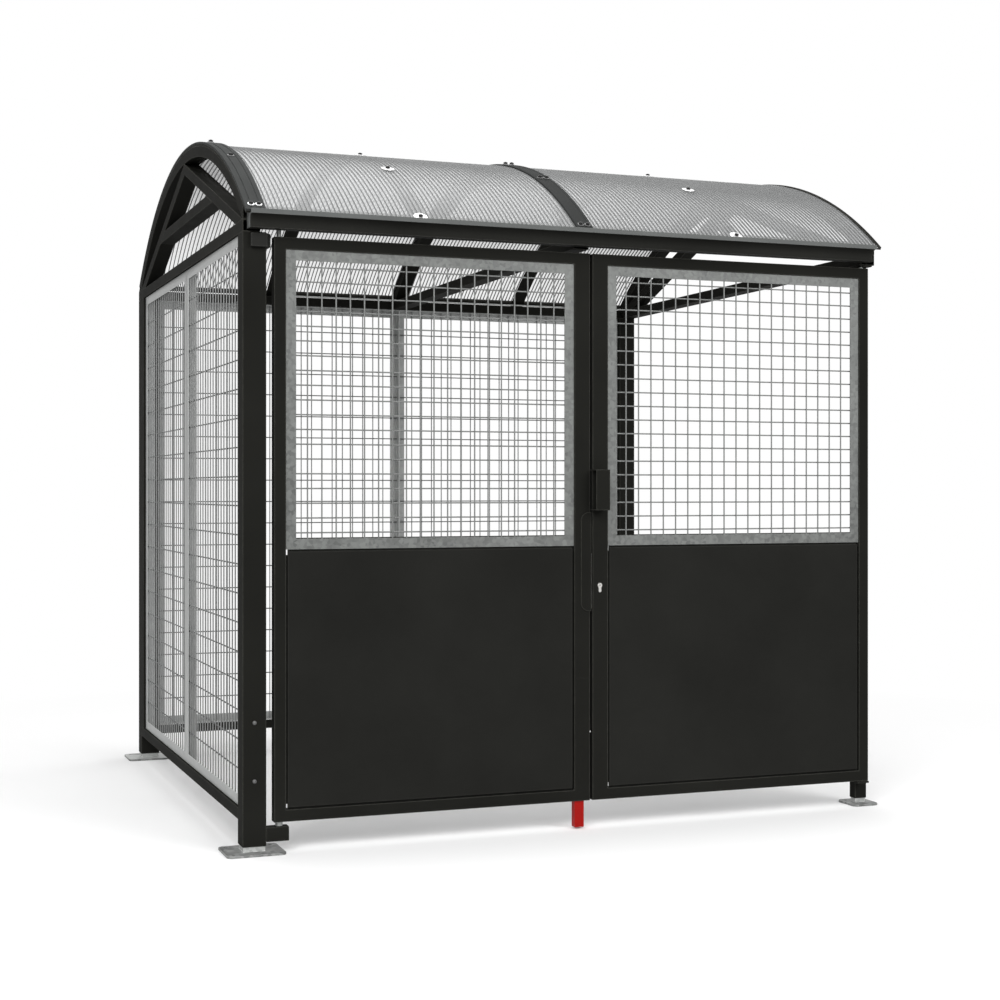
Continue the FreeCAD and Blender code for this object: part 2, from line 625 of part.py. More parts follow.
frame_body = block(LEFT_LEAF_X, LEFT_EDGE_X, 0, LEAF_DEPTH, LEAF_Z, LEAF_TOP_Z)
frame_body = frame_body.cut(block(leaf_in_x0, leaf_in_x1, -1, LEAF_DEPTH + 1, leaf_in_z0, leaf_in_z1))
mid_rail_z1 = mid_rail_z0 + MID_RAIL_Z
mid_rail_y0 = LEAF_DEPTH - MID_RAIL_Y
mid_rail = block(leaf_in_x0, leaf_in_x1, mid_rail_y0, LEAF_DEPTH, mid_rail_z0, mid_rail_z1)
hollows = shrunk(LEFT_LEAF_X, leaf_in_x0, 0, LEAF_DEPTH, LEAF_Z, LEAF_TOP_Z)
hollows = hollows.fuse([
    shrunk(leaf_in_x1, LEFT_EDGE_X, 0, LEAF_DEPTH, LEAF_Z, LEAF_TOP_Z),
    shrunk(LEFT_LEAF_X, LEFT_EDGE_X, 0, LEAF_DEPTH, LEAF_Z, leaf_in_z0),
    shrunk(LEFT_LEAF_X, LEFT_EDGE_X, 0, LEAF_DEPTH, leaf_in_z1, LEAF_TOP_Z),
    shrunk(LEFT_LEAF_X + HINGE_STILE / 2, LEFT_EDGE_X - MEETING_STILE / 2, mid_rail_y0, LEAF_DEPTH,
           mid_rail_z0, mid_rail_z1),
])
low_hole = Part.makeCylinder(LOW_PIN / 2 + PIN_CLEARANCE, LEAF_RAIL / 2,
                             V(LEFT_PIVOT_X, PIVOT_Y, LEAF_Z - 1))
top_hole = Part.makeCylinder(TOP_PIN / 2 + PIN_CLEARANCE, LEAF_RAIL / 2,
                             V(LEFT_PIVOT_X, PIVOT_Y, LEAF_TOP_Z - LEAF_RAIL / 2 + 1))
leaf_frame = frame_body.fuse(mid_rail).cut([hollows, low_hole, top_hole]).removeSplitter()

# Folded panel in the lower part: a raised tray with a lip in the opening, relieved at the corners
panel_back_y = PANEL_SETBACK + PANEL_FLANGE
tray_x0 = leaf_in_x0 + PANEL_GROOVE
tray_x1 = leaf_in_x1 - PANEL_GROOVE
tray_z0 = leaf_in_z0 + PANEL_GROOVE
tray_z1 = WINDOW_Z - PANEL_GROOVE
lip = block(leaf_in_x0, leaf_in_x1, panel_back_y - PANEL_T, panel_back_y, leaf_in_z0, WINDOW_Z)
tray = block(tray_x0, tray_x1, PANEL_SETBACK, panel_back_y, tray_z0, tray_z1)
panel = lip.fuse(tray).cut(block(tray_x0 + PANEL_T, tray_x1 - PANEL_T, PANEL_SETBACK + PANEL_T, LEAF_DEPTH,
                                 tray_z0 + PANEL_T, tray_z1 - PANEL_T))
for corner_x in (leaf_in_x0, tray_x1):
    for corner_z in (leaf_in_z0, WINDOW_Z - PANEL_NOTCH_Z):
        panel = panel.cut(block(corner_x, corner_x + PANEL_GROOVE, 0, LEAF_DEPTH,
                                corner_z, corner_z + PANEL_NOTCH_Z))
panel = panel.removeSplitter()

# Window of galvanised angle with square mesh
window_width = leaf_in_x1 - leaf_in_x0
window_height = leaf_in_z1 - WINDOW_Z
window_place = V((leaf_in_x0 + leaf_in_x1) / 2, WINDOW_SETBACK, WINDOW_Z)
window_frame = angle_frame(window_width, window_height, WINDOW_LEG, WINDOW_FLANGE, WINDOW_ANGLE_T)
window_frame = window_frame.translated(window_place)
window_wires = wire_layers(window_width, window_height, WINDOW_LEG, WINDOW_ANGLE_T, WINDOW_WIRE,
                           WINDOW_PITCH, WINDOW_PITCH)
window_wires = [wire.translated(window_place) for wire in window_wires]
save("left_panel", panel)
save("right_panel", mirrored(panel))
save("left_window_frame", window_frame)
save("right_window_frame", mirrored(window_frame))
save("left_window_mesh", *window_wires)
save("right_window_mesh", *[mirrored(wire) for wire in window_wires])

# Drop bolt that slides in the left leaf's meeting stile
drop_x0 = leaf_in_x1 + LEAF_WALL + DROP_CLEARANCE
drop_y0 = (LEAF_DEPTH - DROP_Y) / 2
drop_bar = block(drop_x0, drop_x0 + DROP_X, drop_y0, drop_y0 + DROP_Y, DROP_Z, DROP_Z + DROP_LENGTH)
drop_bar = drop_bar.cut(block(drop_x0 + DROP_WALL, drop_x0 + DROP_X - DROP_WALL,
                              drop_y0 + DROP_WALL, drop_y0 + DROP_Y - DROP_WALL,
                              DROP_Z + 2 * DROP_WALL, DROP_Z + DROP_LENGTH + 1))
drop_reach = LEFT_EDGE_X + DROP_PIN_PROUD - drop_x0 - DROP_X
drop_pin_root = V(drop_x0 + DROP_X, DROP_PIN_Y, DROP_PIN_Z)
drop_pin = Part.makeCylinder(DROP_PIN / 2, drop_reach, drop_pin_root, V(1, 0, 0))
save("drop_bolt", drop_bar)
save("drop_bolt_pin", drop_pin)


def drop_passage(z0, z1):
    play = DROP_CLEARANCE
    return block(drop_x0 - play, drop_x0 + DROP_X + play, drop_y0 - play, drop_y0 + DROP_Y + play, z0, z1)


slot_half = DROP_PIN / 2 + DROP_CLEARANCE
pin_slot = block(LEFT_EDGE_X - MEETING_STILE / 4, LEFT_EDGE_X + 1,
                 DROP_PIN_Y - slot_half, DROP_PIN_Y + slot_half,
                 DROP_PIN_Z - slot_half, DROP_PIN_Z + DROP_LIFT + slot_half)
strike_hole = block(LEFT_EDGE_X - MEETING_STILE / 4, LEFT_EDGE_X + STRIKE_T + 1,
                    PIVOT_Y - BOLT_Y / 2 - STRIKE_PLAY / 2, PIVOT_Y + BOLT_Y / 2 + STRIKE_PLAY / 2,
                    BOLT_Z - STRIKE_PLAY, BOLT_Z + BOLT_HEIGHT + STRIKE_PLAY)
guide = block(leaf_in_x1 + LEAF_WALL, LEFT_EDGE_X - LEAF_WALL, LEAF_WALL, LEAF_DEPTH - LEAF_WALL,
              GUIDE_Z, GUIDE_Z + GUIDE_T)
passage = drop_passage(LEAF_Z - 1, GUIDE_Z + GUIDE_T + 1)
left_frame = leaf_frame.fuse(guide).cut([passage, pin_slot, strike_hole])
save("left_leaf_frame", left_frame.removeSplitter())
strike = block(LEFT_EDGE_X, LEFT_EDGE_X + STRIKE_T, PIVOT_Y - FOREND_Y / 2, PIVOT_Y + FOREND_Y / 2,
               CASE_Z, CASE_Z + CASE_HEIGHT)
save("strike_plate", strike.cut(strike_hole))

# Guard plate over the lock, rounded towards the left leaf
guard_x1 = LEFT_EDGE_X + GUARD_OVERLAP
guard = block(guard_x1 - GUARD_X, guard_x1, -GUARD_T, 0, GUARD_Z, GUARD_Z + GUARD_HEIGHT)
left_corners = [e for e in guard.Edges if abs(e.tangentAt(e.FirstParameter).y) > 0.9
                and e.CenterOfMass.x < guard_x1 - GUARD_X / 2]
save("guard_plate", guard.makeFillet(GUARD_CORNER, left_corners))

# Mortice lock in the right leaf's meeting stile
lock_x = RIGHT_LEAF_X + LOCK_X
case_x0 = RIGHT_LEAF_X + LEAF_WALL
case_y0 = PIVOT_Y - CASE_Y / 2
cylinder_y0 = -CYLINDER_PROUD
cylinder_length = LEAF_DEPTH + 2 * CYLINDER_PROUD


def lock_round(width, length, z):
    return Part.makeCylinder(width / 2, length, V(lock_x, cylinder_y0, z), V(0, 1, 0))


def cylinder_body():
    head = lock_round(CYLINDER_HEAD, cylinder_length, LOCK_Z)
    toe = lock_round(CYLINDER_WEB, cylinder_length, LOCK_Z - CYLINDER_DROP)
    web = block(lock_x - CYLINDER_WEB / 2, lock_x + CYLINDER_WEB / 2,
                cylinder_y0, cylinder_y0 + cylinder_length, LOCK_Z - CYLINDER_DROP, LOCK_Z)
    return head.fuse([web, toe]).removeSplitter()


cylinder = cylinder_body()
plug_bore = lock_round(PLUG + 2 * PLUG_CLEARANCE, PLUG_LENGTH + PLUG_CLEARANCE, LOCK_Z)
plug = lock_round(PLUG, PLUG_LENGTH, LOCK_Z)
keyway = block(lock_x - KEYWAY_X / 2, lock_x + KEYWAY_X / 2, cylinder_y0 - 1, cylinder_y0 + KEYWAY_DEPTH,
               LOCK_Z - KEYWAY_Z / 2, LOCK_Z + KEYWAY_Z / 2)
save("lock_cylinder", cylinder.cut(plug_bore))
save("lock_plug", plug.cut(keyway))

bolt_y0 = PIVOT_Y - BOLT_Y / 2
bolt_x0 = RIGHT_LEAF_X - FOREND_T + BOLT_CLEARANCE
dead_bolt = block(bolt_x0, bolt_x0 + BOLT_LENGTH, bolt_y0, bolt_y0 + BOLT_Y, BOLT_Z, BOLT_Z + BOLT_HEIGHT)
bolt_passage = block(RIGHT_LEAF_X - FOREND_T - 1, case_x0 + 1,
                     bolt_y0 - BOLT_CLEARANCE, bolt_y0 + BOLT_Y + BOLT_CLEARANCE,
                     BOLT_Z - BOLT_CLEARANCE, BOLT_Z + BOLT_HEIGHT + BOLT_CLEARANCE)
case_body = block(case_x0, case_x0 + CASE_X, case_y0, case_y0 + CASE_Y, CASE_Z, CASE_Z + CASE_HEIGHT)
case_hollow = block(case_x0 - 1, case_x0 + CASE_X - CASE_WALL,
                    case_y0 + CASE_WALL, case_y0 + CASE_Y - CASE_WALL,
                    CASE_Z + CASE_WALL, CASE_Z + CASE_HEIGHT - CASE_WALL)
forend = block(RIGHT_LEAF_X - FOREND_T, RIGHT_LEAF_X, PIVOT_Y - FOREND_Y / 2, PIVOT_Y + FOREND_Y / 2,
               CASE_Z + (CASE_HEIGHT - FOREND_HEIGHT) / 2, CASE_Z + (CASE_HEIGHT + FOREND_HEIGHT) / 2)
half_head = CYLINDER_HEAD / 2
case_window = block(lock_x - half_head, lock_x + half_head, case_y0 - 1, case_y0 + CASE_Y + 1,
                    LOCK_Z - CYLINDER_DROP - CYLINDER_WEB / 2, LOCK_Z + half_head)
save("lock_case", case_body.cut([case_hollow, case_window]))
save("lock_forend", forend.cut(bolt_passage))
save("dead_bolt", dead_bolt)
save("right_leaf_frame", mirrored(leaf_frame).cut([cylinder, bolt_passage]).removeSplitter())

# Folded pull handle, open towards the left leaf
handle_x0 = LEFT_EDGE_X + HANDLE_LEFT
handle_x1 = handle_x0 + HANDLE_X
handle_top_z = HANDLE_Z + HANDLE_HEIGHT
shell = block(handle_x0, handle_x1, -HANDLE_Y, 0, HANDLE_Z, handle_top_z)
shell = shell.cut(block(handle_x0 - 1, handle_x1 - HANDLE_SHEET, -HANDLE_Y + HANDLE_SHEET, 1,
                        HANDLE_Z + HANDLE_SHEET, handle_top_z - HANDLE_SHEET))
save("pull_handle", shell)
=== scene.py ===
import json
import math

import bmesh
import bpy
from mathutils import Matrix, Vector


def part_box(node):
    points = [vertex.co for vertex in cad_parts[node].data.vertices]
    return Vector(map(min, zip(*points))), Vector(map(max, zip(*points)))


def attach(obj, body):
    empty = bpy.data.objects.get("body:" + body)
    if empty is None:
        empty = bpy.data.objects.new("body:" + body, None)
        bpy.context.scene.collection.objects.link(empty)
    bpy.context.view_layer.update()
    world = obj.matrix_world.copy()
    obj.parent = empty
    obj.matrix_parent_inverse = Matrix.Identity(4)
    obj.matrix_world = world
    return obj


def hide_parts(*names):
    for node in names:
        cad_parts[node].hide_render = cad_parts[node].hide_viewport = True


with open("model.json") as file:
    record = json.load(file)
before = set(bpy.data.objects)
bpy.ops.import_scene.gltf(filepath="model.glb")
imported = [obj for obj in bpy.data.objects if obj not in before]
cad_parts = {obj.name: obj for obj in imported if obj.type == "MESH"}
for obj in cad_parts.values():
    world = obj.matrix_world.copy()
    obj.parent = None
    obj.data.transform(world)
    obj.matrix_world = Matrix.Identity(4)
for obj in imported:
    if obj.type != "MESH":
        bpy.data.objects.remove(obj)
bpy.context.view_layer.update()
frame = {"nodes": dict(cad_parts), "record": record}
scene = bpy.context.scene

# Sizes in metres that the solids have too
ANGLE_T = 0.003
WALL_LEG = 0.036
WALL_WIRE = 0.005
WALL_PITCH = 0.050
WALL_ROW_PITCH = 0.100
WINDOW_LEG = 0.036
WINDOW_WIRE = 0.005
WINDOW_PITCH = 0.050
ROOF_RISE = 0.405
SHEET_T = 0.008
EDGE_PROFILE_T = 0.008
COVER_STRIP_T = 0.006
END_TRIM_T = 0.004
BOLT_PAIR = 0.026
BOLT_ROWS = (-0.027, 0.372, 0.745)
BAY_WASHER = 0.050
SMALL_WASHER = 0.026
WASHER_T = 0.003
FOOT_PLATE_T = 0.008
POST_BOLT_ROWS = (0.243, 0.439)

# Finer sizes in metres that only the scene has
FLUTE_PITCH = 0.0165
RIPPLE = 0.0005
SKIN_LIFT = 0.0006
WEB_T = 0.0012
WEB_CLEAR = 0.0003
WEB_FOOT = 0.0036
WEB_FILLET = 0.0012
LIP_DROP = 0.010
LIP_RUN = 0.014
PAIR_WASHER = 0.0236
POST_BOLT_HEAD = 0.0145
# How far in the edges' wear and painted highlight reach, on paint and on metal
PAINT_WEAR_AND_HIGHLIGHT_REACH = 0.005
METAL_WEAR_AND_HIGHLIGHT_REACH = 0.003

# Camera that gives the photograph's view
CAMERA_PLACE = (-2.4185, -6.857, 1.2178)
CAMERA_TILT = math.radians(90.0)
CAMERA_TURN = math.radians(-21.369)
CAMERA_LENS = 62.22
CAMERA_SENSOR = 36.0
CAMERA_SHIFT = (-0.0346, -0.0100)


# Nodes that the materials share

EVEN = (1.0, 1.0, 1.0)
COARSE_DETAIL = 2.0
MIDDLE_DETAIL = 3.0
FINE_DETAIL = 4.0
FINEST_DETAIL = 5.0
MIDDLE_GRAIN = 0.55


def clean_material(name):
    mat = bpy.data.materials.new(name)
    mat.use_nodes = True
    tree = mat.node_tree
    tree.nodes.clear()
    out = tree.nodes.new("ShaderNodeOutputMaterial")
    return mat, tree, out.inputs["Surface"]


def new_material(name):
    mat, tree, surface = clean_material(name)
    shader = tree.nodes.new("ShaderNodeBsdfPrincipled")
    tree.links.new(shader.outputs["BSDF"], surface)
    return mat, tree, shader


def coords(tree, scale=EVEN):
    place = tree.nodes.new("ShaderNodeTexCoord")
    mapping = tree.nodes.new("ShaderNodeMapping")
    mapping.inputs["Scale"].default_value = scale
    tree.links.new(place.outputs["Object"], mapping.inputs["Vector"])
    return mapping.outputs["Vector"]


# Noise with about as many patches per metre as its scale
def noise(tree, vector, scale, detail=MIDDLE_DETAIL, grain=MIDDLE_GRAIN):
    node = tree.nodes.new("ShaderNodeTexNoise")
    node.inputs["Scale"].default_value = scale
    node.inputs["Detail"].default_value = detail
    node.inputs["Roughness"].default_value = grain
    tree.links.new(vector, node.inputs["Vector"])
    return node.outputs["Fac"]


def ramp(tree, fac, stops):
    node = tree.nodes.new("ShaderNodeValToRGB")
    while len(node.color_ramp.elements) < len(stops):
        node.color_ramp.elements.new(0.5)
    for element, (place, colour) in zip(node.color_ramp.elements, stops):
        element.position = place
        element.color = (*colour, 1.0)
    tree.links.new(fac, node.inputs["Fac"])
    return node.outputs["Color"]


def mapped(tree, fac, low, high, start=0.0, end=1.0):
    node = tree.nodes.new("ShaderNodeMapRange")
    node.inputs["From Min"].default_value = start
    node.inputs["From Max"].default_value = end
    node.inputs["To Min"].default_value = low
    node.inputs["To Max"].default_value = high
    tree.links.new(fac, node.inputs["Value"])
    return node.outputs["Result"]


def math_node(tree, operation, first, second):
    node = tree.nodes.new("ShaderNodeMath")
    node.operation = operation
    for socket, value in zip(node.inputs, (first, second)):
        if isinstance(value, float):
            socket.default_value = value
        else:
            tree.links.new(value, socket)
    return node.outputs["Value"]


def shade(colour, factor):
    return tuple(c * factor for c in colour)


# Colour that goes from a darker to a lighter shade while the factor goes from start to end
def varied(tree, fac, colour, darker, lighter, start=0.3, end=0.7):
    return ramp(tree, fac, [(start, shade(colour, darker)), (end, shade(colour, lighter))])


# Roughness that varies around a middle value
def uneven_gloss(tree, shader, fac, rough, less, more):
    tree.links.new(mapped(tree, fac, rough - less, rough + more), shader.inputs["Roughness"])


def bump(tree, shader, height, strength, depth):
    node = tree.nodes.new("ShaderNodeBump")
    node.inputs["Strength"].default_value = strength
    node.inputs["Distance"].default_value = depth
    tree.links.new(height, node.inputs["Height"])
    tree.links.new(node.outputs["Normal"], shader.inputs["Normal"])


# Cosine between a face and its rounded edge: most lightened, as wear and painted highlight, at the first,
# untouched at the second
WORN_AND_LIT_COSINE = 0.86
PLAIN_FACE_COSINE = 0.995
RUB_AND_HIGHLIGHT_SCALE = 38.0


# Base colour with its edges lightened in patches as far in as reach: partly rubbed wear, partly a painted
# highlight in place of the edges' gloss
def edges_worn_and_highlit(tree, shader, colour, edge_colour, amount, reach):
    rounded = tree.nodes.new("ShaderNodeBevel")
    rounded.inputs["Radius"].default_value = reach
    shape = tree.nodes.new("ShaderNodeNewGeometry")
    along = tree.nodes.new("ShaderNodeVectorMath")
    along.operation = "DOT_PRODUCT"
    tree.links.new(rounded.outputs["Normal"], along.inputs[0])
    tree.links.new(shape.outputs["Normal"], along.inputs[1])
    edge = mapped(tree, along.outputs["Value"], amount, 0.0, WORN_AND_LIT_COSINE, PLAIN_FACE_COSINE)
    rubbed_and_lit = math_node(tree, "MULTIPLY", edge, noise(tree, coords(tree), RUB_AND_HIGHLIGHT_SCALE, FINE_DETAIL))
    mix = tree.nodes.new("ShaderNodeMixRGB")
    mix.inputs["Color2"].default_value = (*edge_colour, 1.0)
    tree.links.new(rubbed_and_lit, mix.inputs["Fac"])
    tree.links.new(colour, mix.inputs["Color1"])
    tree.links.new(mix.outputs["Color"], shader.inputs["Base Color"])


# Materials

# In what follows a scale is in patches per metre, a depth in metres, an edge's wear and painted highlight
# in times the colour
DRIFT_SCALE = 2.3
DULL_SCALE = 9.0
PEEL_SCALE = 620.0
PEEL_DEPTH = 0.0004
PAINT_EDGE = 4.5
PAINT_SPECULAR = 0.01


# Powder coat: fine orange peel, faint dusty drift, edges lighter from wear and as a painted highlight
def powder_coat(name, colour, rough, peel, wear_and_highlight):
    mat, tree, shader = new_material(name)
    vector = coords(tree)
    dust = noise(tree, vector, DRIFT_SCALE, FINE_DETAIL)
    drift = varied(tree, dust, colour, darker=0.86, lighter=1.16, start=0.3, end=0.72)
    edges_worn_and_highlit(tree, shader, drift, shade(colour, PAINT_EDGE), wear_and_highlight, PAINT_WEAR_AND_HIGHLIGHT_REACH)
    uneven_gloss(tree, shader, noise(tree, vector, DULL_SCALE), rough, less=0.06, more=0.08)
    bump(tree, shader, noise(tree, vector, PEEL_SCALE, COARSE_DETAIL), peel, PEEL_DEPTH)
    shader.inputs["Specular IOR Level"].default_value = PAINT_SPECULAR
    return mat


BLOOM_RUNS = (1.0, 1.0, 0.35)
BLOOM_SCALE = 11.0
BLOOM_GRAIN = 0.6
BLOOM_SHARE = 0.55
CRYSTAL_SHARE = 0.45
DIMPLE_SCALE = 180.0
DIMPLE_DEPTH = 0.0006
ZINC_EDGE = 2.2
ZINC_WORN_AND_HIGHLIGHT = 1.2
ZINC_METAL = 0.3


# Zinc coat: crystals of different grey under soft runs of white bloom
def zinc(name, colour, spread, crystals, rough):
    mat, tree, shader = new_material(name)
    vector = coords(tree)
    cells = tree.nodes.new("ShaderNodeTexVoronoi")
    cells.inputs["Scale"].default_value = crystals
    tree.links.new(vector, cells.inputs["Vector"])
    grey = tree.nodes.new("ShaderNodeRGBToBW")
    tree.links.new(cells.outputs["Color"], grey.inputs["Color"])
    grain = grey.outputs["Val"]
    bloom = noise(tree, coords(tree, BLOOM_RUNS), BLOOM_SCALE, FINEST_DETAIL, BLOOM_GRAIN)
    tone = math_node(tree, "ADD", math_node(tree, "MULTIPLY", grain, CRYSTAL_SHARE),
                     math_node(tree, "MULTIPLY", bloom, BLOOM_SHARE))
    flecked = varied(tree, tone, colour, 1 - spread, 1 + spread, start=0.22, end=0.78)
    # Edges lighter, partly wear and partly a painted highlight
    edges_worn_and_highlit(tree, shader, flecked, shade(colour, ZINC_EDGE), ZINC_WORN_AND_HIGHLIGHT, METAL_WEAR_AND_HIGHLIGHT_REACH)
    uneven_gloss(tree, shader, grain, rough, less=0.08, more=0.1)
    bump(tree, shader, noise(tree, vector, DIMPLE_SCALE), strength=0.12, depth=DIMPLE_DEPTH)
    shader.inputs["Metallic"].default_value = ZINC_METAL
    return mat


VEIL_BLEND = 0.35
CLOUD_SCALE = 5.0
SHEET_IOR = 1.58


# Clear sheet: one tone with faint clouds, seen through when faced and veiled at a flat angle
def clear_sheet(name, colour, facing_alpha, edge_alpha, rough, start=0.22, end=0.54):
    mat, tree, shader = new_material(name)
    angle = tree.nodes.new("ShaderNodeLayerWeight")
    angle.inputs["Blend"].default_value = VEIL_BLEND
    veil = mapped(tree, angle.outputs["Facing"], facing_alpha, edge_alpha, start, end)
    tree.links.new(veil, shader.inputs["Alpha"])
    haze = noise(tree, coords(tree), CLOUD_SCALE, FINE_DETAIL)
    clouds = varied(tree, haze, colour, darker=0.96, lighter=1.04)
    tree.links.new(clouds, shader.inputs["Base Color"])
    uneven_gloss(tree, shader, haze, rough, less=0.0, more=0.1)
    shader.inputs["IOR"].default_value = SHEET_IOR
    return mat


STREAK_SCALE = 240.0
STREAK_DEPTH = 0.0003
TARNISH_SCALE = 6.0
METAL_EDGE = 1.8
METAL_WORN_AND_HIGHLIGHT = 0.6


# Drawn or anodised metal with fine lines along the direction of the smallest scale
def drawn_metal(name, colour, lines, metal, rough, specular=0.1):
    mat, tree, shader = new_material(name)
    streak = noise(tree, coords(tree, lines), STREAK_SCALE)
    tarnish = noise(tree, coords(tree), TARNISH_SCALE)
    tone = varied(tree, tarnish, colour, darker=0.9, lighter=1.1)
    # Edges lighter, partly wear and partly a painted highlight
    edges_worn_and_highlit(tree, shader, tone, shade(colour, METAL_EDGE), METAL_WORN_AND_HIGHLIGHT, METAL_WEAR_AND_HIGHLIGHT_REACH)
    uneven_gloss(tree, shader, streak, rough, less=0.08, more=0.1)
    bump(tree, shader, streak, strength=0.1, depth=STREAK_DEPTH)
    shader.inputs["Metallic"].default_value = metal
    shader.inputs["Specular IOR Level"].default_value = specular
    return mat


SCUFF_SCALE = 42.0
SCUFF_GRAIN = 0.65
BRUSH_SCALE = 300.0
GLOSS_SMOOTH = 0.26
GLOSS_SCUFFED = 0.46
GLOSS_EDGE = 1.5
GLOSS_WORN_AND_HIGHLIGHT = 0.6
GLOSS_SPECULAR = 0.1


# Gloss paint with scuffed places of a darker tone
def gloss_paint(name, colour, chip):
    mat, tree, shader = new_material(name)
    vector = coords(tree)
    wear = noise(tree, vector, SCUFF_SCALE, FINEST_DETAIL, SCUFF_GRAIN)
    tone = ramp(tree, wear, [(0.0, shade(colour, 0.8)), (0.55, colour), (0.74, colour), (0.8, chip)])
    # Edges lighter, partly wear and partly a painted highlight
    edges_worn_and_highlit(tree, shader, tone, shade(colour, GLOSS_EDGE), GLOSS_WORN_AND_HIGHLIGHT, PAINT_WEAR_AND_HIGHLIGHT_REACH)
    tree.links.new(mapped(tree, wear, GLOSS_SMOOTH, GLOSS_SCUFFED), shader.inputs["Roughness"])
    brushed = noise(tree, vector, BRUSH_SCALE, COARSE_DETAIL)
    bump(tree, shader, brushed, strength=0.12, depth=PEEL_DEPTH)
    shader.inputs["Specular IOR Level"].default_value = GLOSS_SPECULAR
    return mat


# Paints: colour, roughness, orange peel, wear and painted highlight of the edges
PAINT = powder_coat("dark_paint", (0.0126, 0.0126, 0.0111), 0.6, 0.3, 1.8)
PANEL = powder_coat("dark_panel", (0.0155, 0.0155, 0.0141), 0.6, 0.16, 0.5)
CHANNEL = powder_coat("channel_paint", (0.0175, 0.0175, 0.0158), 0.55, 0.2, 0.8)
MATT = powder_coat("matt_black", (0.019, 0.019, 0.0178), 0.66, 0.3, 1.2)

# Zinc: colour, spread of its tones, crystals per metre, roughness
FEET = zinc("zinc_feet", (0.185, 0.19, 0.185), 0.75, 60.0, 0.5)
# Stubs: the feet's own zinc in a lighter copy, a painted light on the part above the plate
STUB_ZINC_LIT = zinc("zinc_stubs_lit", (0.42, 0.43, 0.42), 0.3, 60.0, 0.45)
PIN_ZINC = zinc("zinc_pins", (0.3, 0.31, 0.3), 0.12, 90.0, 0.4)
WALL_ZINC = zinc("zinc_walls", (0.34, 0.347, 0.341), 0.16, 60.0, 0.5)
DOOR_ZINC = zinc("zinc_doors", (0.128, 0.133, 0.128), 0.42, 85.0, 0.52)
DOOR_WIRE = zinc("zinc_door_wires", (0.15, 0.154, 0.15), 0.12, 90.0, 0.46)
WALL_WIRES = zinc("zinc_wall_wires", (0.21, 0.214, 0.212), 0.12, 90.0, 0.5)
# Rows: the same wire as the uprights in a darker copy, a painted shade
WALL_ROWS_SHADED = zinc("zinc_wall_rows_shaded", (0.085, 0.087, 0.086), 0.12, 90.0, 0.5)

# Metals: colour, direction of the lines, metal, roughness, specular level where it isn't the usual one
ALONG_X = (0.02, 1.0, 1.0)
ALONG_ROOF = (1.0, 0.02, 0.02)
ALONG_Z = (1.0, 1.0, 0.05)
BRIGHT = drawn_metal("bright_zinc", (0.72, 0.72, 0.72), EVEN, 0.5, 0.3)
DULL_BOLT = drawn_metal("dull_bolt", (0.13, 0.13, 0.13), EVEN, 0.4, 0.4)
BLACK_ZINC = drawn_metal("black_zinc", (0.02, 0.02, 0.02), EVEN, 0.3, 0.45)
PROFILE = drawn_metal("grey_profile", (0.042, 0.0438, 0.043), ALONG_ROOF, 0.0, 0.6, 0.01)
COVER = drawn_metal("cover_grey", (0.028, 0.0292, 0.0287), ALONG_ROOF, 0.0, 0.6, 0.01)
TRIM = drawn_metal("grey_trim", (0.09, 0.094, 0.092), ALONG_X, 0.2, 0.45)
NICKEL = drawn_metal("satin_nickel", (0.5, 0.49, 0.47), ALONG_Z, 0.7, 0.34)

# Sheet: colour, alpha when faced and at a flat angle, roughness, and where the veil starts and ends
SKIN = clear_sheet("clear_skin", (0.57, 0.58, 0.58), 0.03, 0.16, 0.25)
HAZE = clear_sheet("inner_skin", (0.4, 0.405, 0.405), 0.04, 0.64, 0.5)
# Webs: clear plastic, coloured near black as a painted shade for the dark lines they show
WEB = clear_sheet("sheet_webs", (0.08, 0.082, 0.082), 0.85, 0.97, 0.4, 0.12, 0.36)

# Red paint: colour, colour of the scuffed places
RED = gloss_paint("red_paint", (0.3, 0.006, 0.004), (0.2, 0.006, 0.005))


# Meshes

# Angles in degrees from which an edge is shaded sharp
SHARP_USUAL = 40.0
SHARP_ROUNDED = 50.0
SHARP_WIRE = 60.0
SHARP_THIN = 30.0
SHARP_HEXAGON = 25.0
LARGE_FACE_WEIGHT = 90


def add_object(name, data):
    obj = bpy.data.objects.new(name, data)
    scene.collection.objects.link(obj)
    return obj


def finished_mesh(name, bm, mats):
    mesh = bpy.data.meshes.new(name)
    bm.to_mesh(mesh)
    bm.free()
    for mat in mats:
        mesh.materials.append(mat)
    return mesh


def add_piece(name, bm, mats, body, nodes, slot, sharp_angle=SHARP_USUAL):
    bmesh.ops.recalc_face_normals(bm, faces=bm.faces)
    mesh = finished_mesh(name, bm, mats)
    mesh.polygons.foreach_set("use_smooth", [True] * len(mesh.polygons))
    mesh.set_sharp_from_angle(angle=math.radians(sharp_angle))
    obj = add_object(name, mesh)
    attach(obj, body)
    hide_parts(*nodes)
    even = obj.modifiers.new("even_normals", "WEIGHTED_NORMAL")
    even.keep_sharp = True
    even.weight = LARGE_FACE_WEIGHT


body_of = {node: body for body, nodes in frame["record"]["behaviour"]["bodies"].items() for node in nodes}

# Edges turned by more than CORNER are broken; faces within FLAT become one, and points within SAME_PLACE
CORNER = math.radians(40.0)
FLAT = math.radians(0.5)
SAME_PLACE = 1e-6


